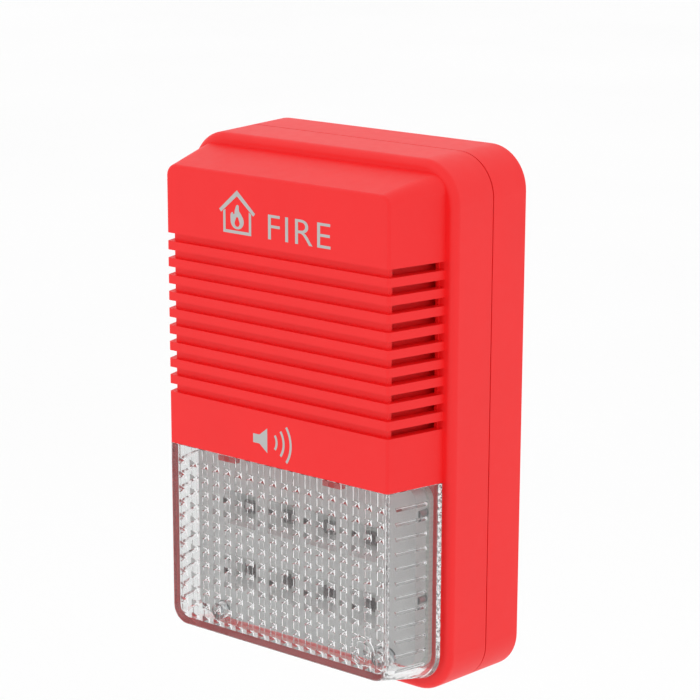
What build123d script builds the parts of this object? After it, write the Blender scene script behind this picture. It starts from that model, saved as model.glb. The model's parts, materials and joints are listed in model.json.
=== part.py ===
"""Wall-mounted fire alarm horn strobe, built as its separate pieces.

Frame: +Z up, +X to the right of someone facing the object, the front faces -Y and the wall is the
plane Y = 0. The origin is the centre of the rear mounting face. Sketches are drawn on planes
parallel to the wall, so "depth" means the distance from the wall towards the front.
"""
from build123d import *
import math
import os

# ---------------------------------------------------------------- overall sizes
body_width = 90.0
body_height = 140.0
overall_depth = 45.0
seam_depth = 13.0            # base ends and head begins
shoulder_depth = 28.0        # flat ring around the raised block
seam_gap = 0.35              # shadow line between base and head
corner_radius = 11.0         # outline corner at the wall
body_draft = 0.025           # side wall lean, mm per mm of depth
shoulder_round = 2.0
wall = 2.5                   # red shell wall
base_floor = 2.5

# ---------------------------------------------------------------- raised block
block_top_front = 62.7
block_bottom_front = -62.3
block_front_margin = 7.8     # sides of the block's front face to the body's outline at the wall
block_shoulder_margin = 3.1  # flat ring left around the block at the shoulder
block_top_corner = 3.0
block_bottom_corner = 4.8
block_corner_growth = 1.6    # corner radii grow towards the shoulder
block_edge_round = 0.9
lens_split = -12.0           # lower end of the red part of the block
lens_gap = 0.15

# ---------------------------------------------------------------- louvre grooves
groove_count = 10
groove_pitch = 4.5
groove_height = 2.2
groove_depth = 1.6
groove_floor = 1.0           # red left behind a groove
groove_first = 43.65         # centre of the top groove
slot_rear_web = 0.3          # side slots stay this far off the shoulder
baffle_gap = 2.2             # air between the side walls and the drip baffles
baffle_thickness = 1.2
baffle_reach_above = 2.0     # baffles go past the end grooves by this much

# ---------------------------------------------------------------- lens and light unit
lens_wall = 2.2
lens_foot_radius = 2.3
lens_foot_depth = 8.0
lens_foot_inset_x = 11.0     # from the lens's inner side walls
lens_foot_rise = 4.2         # from the lens's inner floor
lens_hook_x = 18.0
lens_hook_width = 6.2
lens_hook_drop = 2.2
lens_hook_thickness = 1.8
shelf_rim = 5.0              # width of the shelf that carries the lens and lamp board
lamp_board_thickness = 1.6
lamp_margin = 1.0            # light unit to inner side of the lens
lamp_screw_low = 21.0        # lower lamp board screws above the lens's inner floor
lamp_screw_high = 8.0        # upper lamp board screws below the split
lamp_columns = (-21.0, -7.0, 7.0, 21.0)
lamp_rows = (-30.0, -48.0)
lamp_size = (3.4, 3.4, 2.4)
lamp_dome = 2.6
cup_width = 10.0
cup_height = 9.6
cup_floor = 4.6
reflector_depth = 4.2
reflector_skin = 1.2

# ---------------------------------------------------------------- sound unit
chamber_z = 23.4
disc_margin = 4.5            # rim of the disc to the outside of the chamber
chamber_depth = 12.0
chamber_wall = 1.8
chamber_rear = 22.5
port_radius = 7.0
disc_radius = 20.5
disc_thickness = 0.4
ceramic_radius = 14.0
ceramic_thickness = 0.4
ring_width = 2.4
ring_thickness = 2.0
lead_radius = 0.45
chamber_ear_radius = 3.2
chamber_ear_gap = 0.4        # cup to the posts that carry its ears
chamber_ear_angles = (90.0, 210.0, 330.0)

# ---------------------------------------------------------------- boards and back plate
lip_height = 1.8
lip_wall = 1.2
fit_gap = 0.3
plate_rear = 13.5
plate_thickness = 2.0
board_standoff = 2.0
board_width = 60.0
board_height = 124.0
board_thickness = 1.6
post_x = 26.0
post_z = 56.0
post_radius = 2.6
boss_x = 34.5
boss_z = 52.0
boss_radius = 3.1
boss_rib = 1.6
screw_core = 1.25            # core radius of the small self-tapping screws
screw_head = 2.3
screw_head_height = 1.5

# ---------------------------------------------------------------- base, wiring and contacts
box_screw_spacing = 60.3
box_slot_length = 9.0
box_slot_width = 4.6
cable_width = 32.0
cable_height = 20.0
cable_corner = 3.0
terminal_count = 4
terminal_pitch = 10.0
terminal_z = -32.0
terminal_height = 13.0
terminal_depth = 10.0
terminal_cell = 7.2
terminal_roof = 2.4
strip_thickness = 1.0
strip_width = 4.0
clamp_thickness = 1.2
clamp_lift = 4.0
terminal_screw_radius = 1.5
terminal_head_radius = 2.6
spring_z = -45.0
spring_length = 6.0
spring_height = 8.0
spring_leaf = 0.6
blade_thickness = 0.8
blade_gap = 0.1
blade_width = 4.4
blade_tip_depth = 5.2
lock_screw_radius = 1.5
lock_tab_width = 10.0
lock_screw_depth = 17.5
lock_tab_height = 6.5

# ---------------------------------------------------------------- tone switch
switch_z = 22.0
switch_pitch = 2.54
switch_count = 4
switch_margin = 1.4
switch_height = 6.6
switch_body_depth = 3.4
lever_width = 1.3
lever_length = 1.4
lever_travel = 1.8
lever_proud = 0.7
lever_gap = 0.1

# ---------------------------------------------------------------- tall components
can_radius = 4.0
can_height = 11.0
can_x = 16.0
can_z = 55.5
drum_z = -8.5
drum_radius = 5.0
drum_height = 5.6
drum_flange = 1.2
drum_waist = 2.6

chip_length = 10.0           # small-outline controller package
chip_width = 4.0
chip_height = 1.8
chip_lift = 0.2
chip_z = -24.0
chip_lead_count = 8
chip_lead_pitch = 1.27
chip_lead_width = 0.4
chip_lead_length = 1.2
chip_lead_height = 1.0
resistor_size = (2.0, 0.55, 1.25)
resistor_first = (12.0, -20.0)
resistor_pitch = (4.0, 3.2)
resistor_counts = (3, 4)
ceramic_size = (3.2, 1.3, 1.6)
ceramic_first = (-12.4, -19.0)
ceramic_pitch = 3.6
ceramic_count = 4
transistor_size = (6.5, 2.3, 6.0)
transistor_place = (23.0, -9.0)
transistor_leg = (0.7, 0.6, 2.6)
transistor_leg_shift = 2.3
diode_size = (4.2, 2.2, 2.6)
diode_first = (-18.0, -38.7)
diode_pitch = 7.0
diode_count = 4
header_pin_count = 4
header_pitch = 2.54
header_pin_width = 0.64
header_width = 2.5
header_z = -54.55

# ---------------------------------------------------------------- derived places
head_rear = seam_depth + seam_gap
shelf_rear = shoulder_depth - wall
block_wall = groove_depth + groove_floor
block_front_width = body_width - 2 * block_front_margin
chamber_radius = disc_radius + disc_margin
board_rear = plate_rear + plate_thickness + board_standoff
board_front = board_rear + board_thickness
lamp_board_front = shoulder_depth + lamp_board_thickness
reflector_front = lamp_board_front + reflector_depth


def at_depth(depth, x=0.0, z=0.0):
    """Plane parallel to the wall at a depth, moved to x, z; its normal points to the front."""
    return Plane((x, -depth, z), x_dir=(1, 0, 0), z_dir=(0, -1, 0))


def box_between(x0, x1, depth0, depth1, z0, z1):
    """Box given by its limits in x, depth and z."""
    size = (x1 - x0, depth1 - depth0, z1 - z0)
    return Pos((x0 + x1) / 2, -(depth0 + depth1) / 2, (z0 + z1) / 2) * Box(*size)


def rod(radius, x, z, depth0, depth1):
    """Round rod square to the wall, from one depth to another."""
    return extrude(at_depth(depth0, x, z) * Circle(radius), amount=depth1 - depth0)


def mirrored_pairs(x, z):
    """The four places at plus and minus x and z."""
    return [(sx * x, sz * z) for sx in (-1, 1) for sz in (-1, 1)]


def fuse(shapes):
    """Fuse a list of solids that touch into one shape."""
    result = shapes[0]
    for shape in shapes[1:]:
        result = result + shape
    return result


def group(shapes):
    """Separate solids of identical pieces kept together in one node."""
    return Compound(children=[solid for shape in shapes for solid in shape.solids()])


# ---------------------------------------------------------------- outlines
def body_outline(depth, inset=0.0):
    """Rounded outline of the red body for a depth, moved inwards by an inset, as a flat sketch."""
    shrink = 2 * (body_draft * depth + inset)
    radius = max(corner_radius - inset, 1.0)
    return RectangleRounded(body_width - shrink, body_height - shrink, radius)


def body_section(depth, inset=0.0):
    """Body outline placed at its depth."""
    return at_depth(depth) * body_outline(depth, inset)


def body_solid(depth0, depth1, inset=0.0):
    """Body outline carried from one depth to another with its draft."""
    return loft([body_section(depth0, inset), body_section(depth1, inset)])


def block_limits(depth, inset=0.0):
    """Half width, top and bottom of the raised block at a depth, moved inwards by an inset."""
    share = (depth - shoulder_depth) / (overall_depth - shoulder_depth)
    lean = body_draft * shoulder_depth + block_shoulder_margin
    half_rear = body_width / 2 - lean
    half_front = block_front_width / 2
    top_rear = body_height / 2 - lean
    half = half_rear + (half_front - half_rear) * share - inset
    top = top_rear + (block_top_front - top_rear) * share - inset
    bottom = -top_rear + (block_bottom_front + top_rear) * share + inset
    return half, top, bottom


def block_section(depth, inset=0.0):
    """Outline of the raised block at a depth, with larger corners at the lens end."""
    half, top, bottom = block_limits(depth, inset)
    growth = block_corner_growth * (overall_depth - depth) / (overall_depth - shoulder_depth)
    top_radius = max(block_top_corner + growth - inset, 0.6)
    bottom_radius = max(block_bottom_corner + 2 * growth - inset, 0.6)
    outline = Pos(0, (top + bottom) / 2) * Rectangle(2 * half, top - bottom)
    ordered = outline.vertices().sort_by(Axis.Y)
    outline = fillet(ordered[:2], bottom_radius)
    ordered = outline.vertices().sort_by(Axis.Y)
    outline = fillet(ordered[-2:], top_radius)
    return at_depth(depth) * outline


def block_solid(depth0, depth1, inset=0.0):
    """Raised block between two depths."""
    return loft([block_section(depth0, inset), block_section(depth1, inset)])


def above(z):
    """Everything of the object that lies above a height."""
    return box_between(-body_width, body_width, -5, overall_depth + 20, z, body_height)


def below(z):
    """Everything of the object that lies below a height."""
    return box_between(-body_width, body_width, -5, overall_depth + 20, -body_height, z)


def front_edges(shape, depth, tolerance=0.05):
    """Edges of a shape that lie in the plane at a depth."""
    return shape.edges().filter_by_position(Axis.Y, -depth - tolerance, -depth + tolerance)


# ---------------------------------------------------------------- front cover
def groove_heights():
    """Centre heights of the louvre grooves from the top down."""
    return [groove_first - index * groove_pitch for index in range(groove_count)]


def groove_cutter(z):
    """One square groove across the front and round both sides of the block."""
    low = z - groove_height / 2
    high = z + groove_height / 2
    layer = box_between(-body_width, body_width, shoulder_depth + 0.01, overall_depth + 5, low, high)
    return layer - block_solid(shoulder_depth - 2, overall_depth - groove_depth, groove_depth)


def side_slots(z):
    """Sound slots cut through both side walls of the block at one groove."""
    low = z - groove_height / 2
    high = z + groove_height / 2
    depth0 = shoulder_depth + slot_rear_web
    depth1 = overall_depth - block_wall
    half, _, _ = block_limits(depth1, block_wall)
    outer = body_width / 2
    return [
        box_between(half - 1, outer, depth0, depth1, low, high),
        box_between(-outer, 1 - half, depth0, depth1, low, high),
    ]


def cover_shell():
    """Ring and upper block of the cover, hollowed from behind."""
    ring = body_solid(head_rear, shoulder_depth)
    ring = fillet(front_edges(ring, shoulder_depth), shoulder_round)
    block = block_solid(shoulder_depth - wall, overall_depth)
    upper = block & above(lens_split)
    rounded = [edge for edge in front_edges(upper, overall_depth) if edge.center().Z > lens_split + 1]
    upper = fillet(rounded, block_edge_round)
    shell = ring + upper
    shell -= body_solid(head_rear - 1, shelf_rear, wall)
    cavity = block_solid(shelf_rear - 1, overall_depth - block_wall, block_wall) & above(lens_split + wall)
    return shell - cavity


def drip_baffles():
    """Red walls a little inside the side slots: sound passes round their ends, water and fingers don't."""
    inset = block_wall + baffle_gap
    outer = block_solid(shelf_rear, overall_depth - block_wall + 0.5, inset)
    inner = block_solid(shelf_rear - 1, overall_depth, inset + baffle_thickness)
    heights = groove_heights()
    low = heights[-1] - groove_height / 2 - baffle_reach_above
    high = heights[0] + groove_height / 2 + baffle_reach_above
    walls = outer - inner
    return walls & box_between(-body_width, body_width, 0, overall_depth, low, high)


def shelf_opening():
    """Window in the shelf behind the lens."""
    half, _, bottom = block_limits(shoulder_depth, lens_wall)
    window = box_between(
        -half + shelf_rim, half - shelf_rim, shelf_rear - 1, shoulder_depth + 1,
        bottom + shelf_rim, lens_split - shelf_rim,
    )
    return window


def cover_boss(x, z):
    """Screw boss for the back plate, tied to the side wall by a rib."""
    side = math.copysign(1.0, x)
    reach = body_width / 2 - body_draft * shoulder_depth - wall / 2
    post = rod(boss_radius, x, z, plate_rear + plate_thickness, shelf_rear + 0.5)
    rib_start = plate_rear + plate_thickness + 1
    x0, x1 = sorted((x, side * reach))
    rib = box_between(x0, x1, rib_start, shelf_rear + 0.5, z - boss_rib / 2, z + boss_rib / 2)
    return post + rib


def chamber_ear_places():
    """Centres of the ears that hold the sound chamber."""
    reach = chamber_radius + chamber_ear_radius + chamber_ear_gap
    places = []
    for angle in chamber_ear_angles:
        turn = math.radians(angle)
        places.append((reach * math.cos(turn), chamber_z + reach * math.sin(turn)))
    return places


def chamber_posts():
    """Posts inside the block that the sound chamber's ears are screwed to."""
    tip = chamber_rear + chamber_wall
    return [rod(chamber_ear_radius, x, z, tip, overall_depth - block_wall + 0.5) for x, z in chamber_ear_places()]


def lens_hooks():
    """Two tongues below the red block that back up the lens's upper edge."""
    depth1 = overall_depth - lens_wall - lens_gap
    depth0 = depth1 - lens_hook_thickness
    hooks = []
    for x in (-lens_hook_x, lens_hook_x):
        half = lens_hook_width / 2
        hooks.append(box_between(x - half, x + half, depth0, depth1, lens_split - lens_hook_drop, lens_split + 0.5))
    return hooks


def lens_foot_places():
    """Centres of the two screwed feet at the bottom of the lens."""
    half, _, bottom = block_limits(shoulder_depth, lens_wall)
    return [(side * (half - lens_foot_inset_x), bottom + lens_foot_rise) for side in (-1, 1)]


def lamp_screw_places():
    """Corners where the lamp board and reflector are screwed to the shelf."""
    half, _, bottom = block_limits(shoulder_depth, lens_wall)
    inner = shelf_rim / 2 + 0.6
    x = half - inner
    return [(side * x, z) for side in (-1, 1) for z in (bottom + lamp_screw_low, lens_split - lamp_screw_high)]


def make_front_cover():
    """Red head shell with louvres, slots, bosses and the lens seat."""
    cover = cover_shell()
    cover -= shelf_opening()
    for z in groove_heights():
        cover -= groove_cutter(z)
        for slot in side_slots(z):
            cover -= slot
    for x, z in mirrored_pairs(boss_x, boss_z):
        cover += cover_boss(x, z)
    for x, z in mirrored_pairs(boss_x, boss_z):
        cover -= rod(screw_core, x, z, plate_rear, plate_rear + plate_thickness + 6.0)
    for post in chamber_posts():
        cover += post
    for x, z in chamber_ear_places():
        cover -= rod(screw_core, x, z, chamber_rear, chamber_rear + chamber_wall + 6.0)
    for hook in lens_hooks():
        cover += hook
    cover += drip_baffles()
    for x, z in lamp_screw_places() + lens_foot_places():
        cover -= rod(screw_core + 0.15, x, z, shelf_rear - 1, shoulder_depth + 1)
    screw_hole = Cylinder(lock_screw_radius, 10)
    cover -= Pos(0, -lock_screw_depth, -body_height / 2) * screw_hole
    return cover


# ---------------------------------------------------------------- lens
def make_strobe_lens():
    """Clear lens: a tray with an open top that the red block closes, and two screw feet."""
    outer = block_solid(shoulder_depth, overall_depth) & below(lens_split - lens_gap)
    rounded = [edge for edge in front_edges(outer, overall_depth) if edge.center().Z < lens_split - 2]
    outer = fillet(rounded, block_edge_round)
    lens = outer - block_solid(shoulder_depth - 1, overall_depth - lens_wall, lens_wall)
    for x, z in lens_foot_places():
        foot = rod(lens_foot_radius, x, z, shoulder_depth, shoulder_depth + lens_foot_depth)
        web = box_between(x - 0.6, x + 0.6, shoulder_depth, shoulder_depth + lens_foot_depth, z - lens_foot_rise, z)
        lens += foot + (web & block_solid(shoulder_depth, overall_depth, lens_wall / 2))
        lens -= rod(screw_core, x, z, shoulder_depth - 1, shoulder_depth + lens_foot_depth - 1.5)
    return lens


# ---------------------------------------------------------------- light unit
def light_unit_plate(depth0, depth1, margin):
    """Plate that fits inside the lens at the shoulder with a margin all round."""
    half, _, bottom = block_limits(depth1, lens_wall + margin)
    top = lens_split - margin
    face = at_depth(depth0, 0, (top + bottom) / 2) * RectangleRounded(2 * half, top - bottom, 4.0)
    plate = extrude(face, amount=depth1 - depth0)
    for x, z in lens_foot_places():
        gap = lens_foot_radius + fit_gap
        plate -= rod(gap, x, z, depth0 - 1, depth1 + 1)
        plate -= box_between(x - gap, x + gap, depth0 - 1, depth1 + 1, z - 2 * lens_foot_rise, z)
    return plate


def lamp_places():
    """Centres of the lamps, row by row."""
    return [(x, z) for z in lamp_rows for x in lamp_columns]


def make_lamp_board():
    """Board under the reflector, seated on the shelf."""
    board = light_unit_plate(shoulder_depth, lamp_board_front, lamp_margin)
    for x, z in lamp_screw_places():
        board -= rod(screw_core + 0.15, x, z, shoulder_depth - 1, lamp_board_front + 1)
    return board


def make_reflector():
    """Light grey tray with a square cup around each lamp."""
    tray = light_unit_plate(lamp_board_front, reflector_front, lamp_margin)
    hollow = light_unit_plate(lamp_board_front - 1, reflector_front - reflector_skin, lamp_margin + 1.2)
    tray -= hollow
    for x, z in lamp_screw_places():
        post = rod(2.2, x, z, lamp_board_front, reflector_front)
        tray += post & light_unit_plate(lamp_board_front, reflector_front, lamp_margin)
    for x, z in lamp_screw_places():
        tray -= rod(screw_core, x, z, lamp_board_front - 1, reflector_front - 1.0)
    for x, z in lamp_places():
        outer_rear = at_depth(lamp_board_front, x, z) * Rectangle(cup_floor + 2.4, cup_floor + 2.4)
        outer_front = at_depth(reflector_front, x, z) * Rectangle(cup_width + 2.4, cup_height + 2.4)
        tray += loft([outer_rear, outer_front])
    for x, z in lamp_places():
        inner_rear = at_depth(lamp_board_front - 0.01, x, z) * Rectangle(cup_floor, cup_floor)
        inner_front = at_depth(reflector_front + 0.01, x, z) * Rectangle(cup_width, cup_height)
        tray -= loft([inner_rear, inner_front])
    return tray


def make_strobe_leds():
    """Lamps soldered on the lamp board, each a square base with a low dome."""
    leds = []
    for x, z in lamp_places():
        width, height, tall = lamp_size
        dome_start = lamp_board_front + tall * 0.5
        base = box_between(x - width / 2, x + width / 2, lamp_board_front, dome_start, z - height / 2, z + height / 2)
        dome = rod(lamp_dome / 2, x, z, dome_start, lamp_board_front + tall)
        dome = fillet(front_edges(dome, lamp_board_front + tall), 0.8)
        leds.append(base + dome)
    return group(leds)


def make_screw(x, z, depth, length, towards_front=True, core=screw_core, head=screw_head):
    """Pan-head screw whose head seats at a depth and whose shank runs away from the head."""
    step = 1.0 if towards_front else -1.0
    start, end = sorted((depth, depth + step * length))
    shank = rod(core, x, z, start, end)
    start, end = sorted((depth, depth - step * screw_head_height))
    cap = rod(head, x, z, start, end)
    outer = depth - step * screw_head_height
    cap = fillet(front_edges(cap, outer), screw_head_height * 0.45)
    slot = box_between(
        x - head * 0.75, x + head * 0.75, outer - 0.6, outer + 0.6, z - 0.3, z + 0.3,
    )
    cross = box_between(
        x - 0.3, x + 0.3, outer - 0.6, outer + 0.6, z - head * 0.75, z + head * 0.75,
    )
    return shank + cap - slot - cross


def make_lamp_board_screws():
    """Screws from behind the shelf into the reflector's posts."""
    length = wall + lamp_board_thickness + reflector_depth - 1.4
    return group([make_screw(x, z, shelf_rear, length) for x, z in lamp_screw_places()])


def make_lens_screws():
    """Screws from behind the shelf into the lens's feet."""
    return group([make_screw(x, z, shelf_rear, wall + 5.5) for x, z in lens_foot_places()])


# ---------------------------------------------------------------- sound unit
def chamber_ear(angle):
    """Round-ended ear on the rim of the sound chamber at an angle."""
    reach = chamber_radius + chamber_ear_radius + chamber_ear_gap
    start = chamber_radius - chamber_wall / 2
    bridge = Pos((start + reach) / 2, 0) * Rectangle(reach - start, 2 * chamber_ear_radius)
    outline = bridge + Pos(reach, 0) * Circle(chamber_ear_radius)
    return extrude(at_depth(chamber_rear, 0, chamber_z) * (Rot(0, 0, angle) * outline), amount=chamber_wall)


def make_sound_chamber():
    """Round resonator cup, open to the rear, with a port at the front and three ears."""
    front = chamber_rear + chamber_depth
    cup = rod(chamber_radius, 0, chamber_z, chamber_rear, front)
    cup -= rod(chamber_radius - chamber_wall, 0, chamber_z, chamber_rear - 1, front - chamber_wall)
    seat_front = chamber_rear + ring_thickness * 2 + disc_thickness
    seat = rod(chamber_radius - chamber_wall / 2, 0, chamber_z, seat_front, seat_front + 1.5)
    seat -= rod(disc_radius - ring_width, 0, chamber_z, seat_front - 1, seat_front + 3)
    cup += seat
    cup -= rod(port_radius, 0, chamber_z, front - chamber_wall - 1, front + 1)
    for angle in chamber_ear_angles:
        cup += chamber_ear(angle)
    for x, z in chamber_ear_places():
        cup -= rod(screw_core + 0.15, x, z, chamber_rear - 1, chamber_rear + chamber_wall + 0.01)
    return cup


def disc_rear_depth():
    """Depth of the rear face of the brass disc."""
    return chamber_rear + ring_thickness


def make_piezo_disc():
    """Brass diaphragm, gripped between the ring's two lips."""
    rear = disc_rear_depth()
    return rod(disc_radius, 0, chamber_z, rear, rear + disc_thickness)


def make_piezo_ceramic():
    """Ceramic layer bonded to the rear of the disc."""
    rear = disc_rear_depth()
    return rod(ceramic_radius, 0, chamber_z, rear - ceramic_thickness, rear)


def make_piezo_ring():
    """Rubber ring with a groove that holds the rim of the disc inside the chamber."""
    rear = chamber_rear
    front = rear + 2 * ring_thickness + disc_thickness
    ring = rod(chamber_radius - chamber_wall, 0, chamber_z, rear, front)
    ring -= rod(disc_radius - ring_width, 0, chamber_z, rear - 1, front + 1)
    return ring - make_piezo_disc()


def make_chamber_screws():
    """Screws through the chamber's ears into the cover's posts."""
    return group([make_screw(x, z, chamber_rear, chamber_wall + 5.0) for x, z in chamber_ear_places()])


def lead_points(side):
    """Corner points of one lead, from the disc's rear to the main board."""
    solder = disc_rear_depth() - ceramic_thickness if side < 0 else disc_rear_depth()
    start_x = side * (8.0 if side < 0 else 16.0)
    land = board_front
    middle = (solder + land) / 2
    z = chamber_z
    return [
        Vector(start_x, -solder, z - 4),
        Vector(start_x, -solder + 2.3, z - 4),
        Vector(side * 13.0, -middle - 0.2, z - 13),
        Vector(side * 11.5, -middle + 0.1, z - 25),
        Vector(side * 8.5, -land - 2.4, z - 36),
        Vector(side * 8.5, -land, z - 36),
    ]


def make_lead(side):
    """Insulated lead as straight runs joined by tangent arcs."""
    points = lead_points(side)
    radii = []
    for before, corner, after in zip(points, points[1:], points[2:]):
        first = corner - before
        second = after - corner
        turn = math.radians(first.get_angle(second))
        radii.append(0.45 * min(first.length, second.length) / math.tan(turn / 2))
    path = FilletPolyline(*points, radius=radii)
    tube = sweep(Plane(path @ 0, z_dir=path % 0) * Circle(lead_radius), path=path)
    print("lead radii", [round(radius, 2) for radius in radii], "length", round(path.length, 1))
    return tube


# ---------------------------------------------------------------- main board and its parts
def make_main_board():
    """Driver board on the back plate's posts."""
    face = at_depth(board_rear) * RectangleRounded(board_width, board_height, 2.0)
    board = extrude(face, amount=board_thickness)
    for x, z in mirrored_pairs(post_x, post_z):
        board -= rod(screw_core + 0.15, x, z, board_rear - 1, board_front + 1)
    return board


def make_board_screws():
    """Screws from the front of the board into the back plate's posts."""
    screws = [make_screw(x, z, board_front, board_thickness + 3.2, False) for x, z in mirrored_pairs(post_x, post_z)]
    return group(screws)


def on_board(x, z, size):
    """Box of a width, thickness and height that stands on the main board, centred on x and z."""
    wide, thick, tall = size
    return box_between(x - wide / 2, x + wide / 2, board_front, board_front + thick, z - tall / 2, z + tall / 2)


def make_controller_chip():
    """Small-outline package with a row of leads on each side."""
    body = Pos(0, -chip_lift, 0) * on_board(0, chip_z, (chip_length, chip_height, chip_width))
    lead = (chip_lead_width, chip_lead_height, chip_lead_length)
    reach = (chip_width + chip_lead_length) / 2
    legs = []
    for index in range(chip_lead_count):
        x = chip_lead_pitch * (index - (chip_lead_count - 1) / 2)
        for side in (-1, 1):
            legs.append(on_board(x, chip_z + side * reach, lead))
    return fuse([body] + legs)


def make_chip_resistors():
    """Small chip resistors in rows beside the controller."""
    columns, rows = resistor_counts
    chips = []
    for row in range(rows):
        for column in range(columns):
            x = resistor_first[0] + resistor_pitch[0] * column
            z = resistor_first[1] - resistor_pitch[1] * row
            chips.append(on_board(x, z, resistor_size))
    return group(chips)


def make_chip_capacitors():
    """Ceramic chip capacitors on the other side of the controller."""
    x, z = ceramic_first
    return group([on_board(x, z - ceramic_pitch * row, ceramic_size) for row in range(ceramic_count)])


def make_power_transistors():
    """Two flat power transistors with a metal-backed body and flat legs."""
    parts = []
    z = transistor_place[1]
    leg_z = z - (transistor_size[2] + transistor_leg[2]) / 2
    for side in (-1, 1):
        x = side * transistor_place[0]
        legs = [on_board(x + shift, leg_z, transistor_leg) for shift in (-transistor_leg_shift, transistor_leg_shift)]
        parts.append(fuse([on_board(x, z, transistor_size)] + legs))
    return group(parts)


def make_diodes():
    """Surface-mount diodes that sort out the polarity of the supply."""
    x, z = diode_first
    return group([on_board(x + diode_pitch * index, z, diode_size) for index in range(diode_count)])


def make_electrolytic_capacitors():
    """Two tall can capacitors standing on the board above the sound chamber."""
    cans = []
    top = board_front + can_height
    for x in (-can_x, can_x):
        can = rod(can_radius, x, can_z, board_front, top)
        groove = rod(can_radius + 1, x, can_z, board_front + 1.2, board_front + 2.0)
        can -= groove - rod(can_radius - 0.3, x, can_z, board_front, top)
        can = fillet(front_edges(can, top), 0.5)
        cans.append(can)
    return group(cans)


def make_inductor_core():
    """Ferrite drum: two flanges joined by a waist."""
    low = board_front + drum_flange
    high = board_front + drum_height - drum_flange
    drum = rod(drum_radius, 0, drum_z, board_front, board_front + drum_height)
    return drum - (rod(drum_radius + 1, 0, drum_z, low, high) - rod(drum_waist, 0, drum_z, low, high))


def make_inductor_coil():
    """Copper winding on the drum's waist."""
    low = board_front + drum_flange
    high = board_front + drum_height - drum_flange
    return rod(drum_radius - 0.3, 0, drum_z, low, high) - rod(drum_waist, 0, drum_z, low - 1, high + 1)


def header_pins(start, end):
    """The header's square pins between two depths."""
    half = header_pin_width / 2
    pins = []
    for index in range(header_pin_count):
        x = header_pitch * (index - (header_pin_count - 1) / 2)
        pins.append(box_between(x - half, x + half, start, end, header_z - half, header_z + half))
    return pins


def make_lamp_header():
    """Plastic spacer between the main board and the lamp board."""
    half = header_pitch * header_pin_count / 2
    low = header_z - header_width / 2
    spacer = box_between(-half, half, board_front, shoulder_depth, low, low + header_width)
    for pin in header_pins(board_front - 1, shoulder_depth + 1):
        spacer -= pin
    return spacer


def make_lamp_header_pins():
    """Four square pins between both boards."""
    return group(header_pins(board_front, shoulder_depth))


# ---------------------------------------------------------------- tone switch
def lever_places():
    """Centres of the four switch levers along x."""
    first = -switch_pitch * (switch_count - 1) / 2
    return [first + switch_pitch * index for index in range(switch_count)]


def switch_rear():
    """Depth of the switch body's rear face."""
    return board_rear - switch_body_depth


def make_tone_switch_body():
    """Switch housing on the rear of the main board with a slot for each lever."""
    half = switch_pitch * switch_count / 2 + switch_margin / 2
    body = box_between(
        -half, half, switch_rear(), board_rear, switch_z - switch_height / 2, switch_z + switch_height / 2,
    )
    run = lever_length + lever_travel + 2 * lever_gap
    for x in lever_places():
        wide = lever_width / 2 + lever_gap
        body -= box_between(x - wide, x + wide, switch_rear() - 1, switch_rear() + 2.0, switch_z - run / 2, switch_z + run / 2)
    return body


def make_tone_lever(x):
    """One slide lever, shown in its lower position."""
    low = switch_z - (lever_length + lever_travel) / 2
    rear = switch_rear() - lever_proud
    return box_between(
        x - lever_width / 2, x + lever_width / 2, rear, switch_rear() + 1.8, low, low + lever_length,
    )


# ---------------------------------------------------------------- back plate and contacts
def terminal_places():
    """Centres of the terminals and contacts along x."""
    first = -terminal_pitch * (terminal_count - 1) / 2
    return [first + terminal_pitch * index for index in range(terminal_count)]


def make_back_plate():
    """Rear closure of the head with board posts, a switch window and slots for the blades."""
    inset = wall + fit_gap + lip_wall + 0.5
    plate = extrude(at_depth(plate_rear) * body_outline(seam_depth, inset), amount=plate_thickness)
    for x, z in mirrored_pairs(post_x, post_z):
        plate += rod(post_radius, x, z, plate_rear, board_rear)
        plate -= rod(screw_core, x, z, plate_rear + 0.6, board_rear + 1)
    for x, z in mirrored_pairs(boss_x, boss_z):
        plate -= rod(screw_core + 0.2, x, z, plate_rear - 1, plate_rear + plate_thickness + 1)
    half = switch_pitch * switch_count / 2 + switch_margin
    tall = switch_height / 2 + 0.8
    plate -= box_between(-half, half, plate_rear - 1, board_rear, switch_z - tall, switch_z + tall)
    for x in terminal_places():
        wide = blade_thickness / 2 + 0.3
        deep = blade_width / 2 + 0.3
        plate -= box_between(x - wide, x + wide, plate_rear - 1, board_rear, spring_z - deep, spring_z + deep)
    return plate


def make_back_plate_screws():
    """Screws through the back plate into the cover's bosses."""
    screws = [make_screw(x, z, plate_rear, plate_thickness + 5.0) for x, z in mirrored_pairs(boss_x, boss_z)]
    return group(screws)


def make_contact_blades():
    """Blades standing on the rear of the main board that plug into the base."""
    blades = []
    for x in terminal_places():
        half = blade_thickness / 2
        blade = box_between(
            x - half, x + half, blade_tip_depth, board_rear, spring_z - blade_width / 2, spring_z + blade_width / 2,
        )
        tip = front_edges(blade, blade_tip_depth).filter_by(Axis.Z)
        blades.append(chamfer(tip, 0.25))
    return group(blades)


# ---------------------------------------------------------------- base and wiring
def lock_tab(clearance=0.0):
    """Tab on the base's lip that the locking screw enters."""
    outer = body_height / 2 - body_draft * seam_depth - wall - fit_gap
    half = lock_tab_width / 2 + clearance
    return box_between(
        -half, half, seam_depth - 1, seam_depth + lock_tab_height, -outer + clearance, -outer + lip_wall + clearance,
    )


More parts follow.
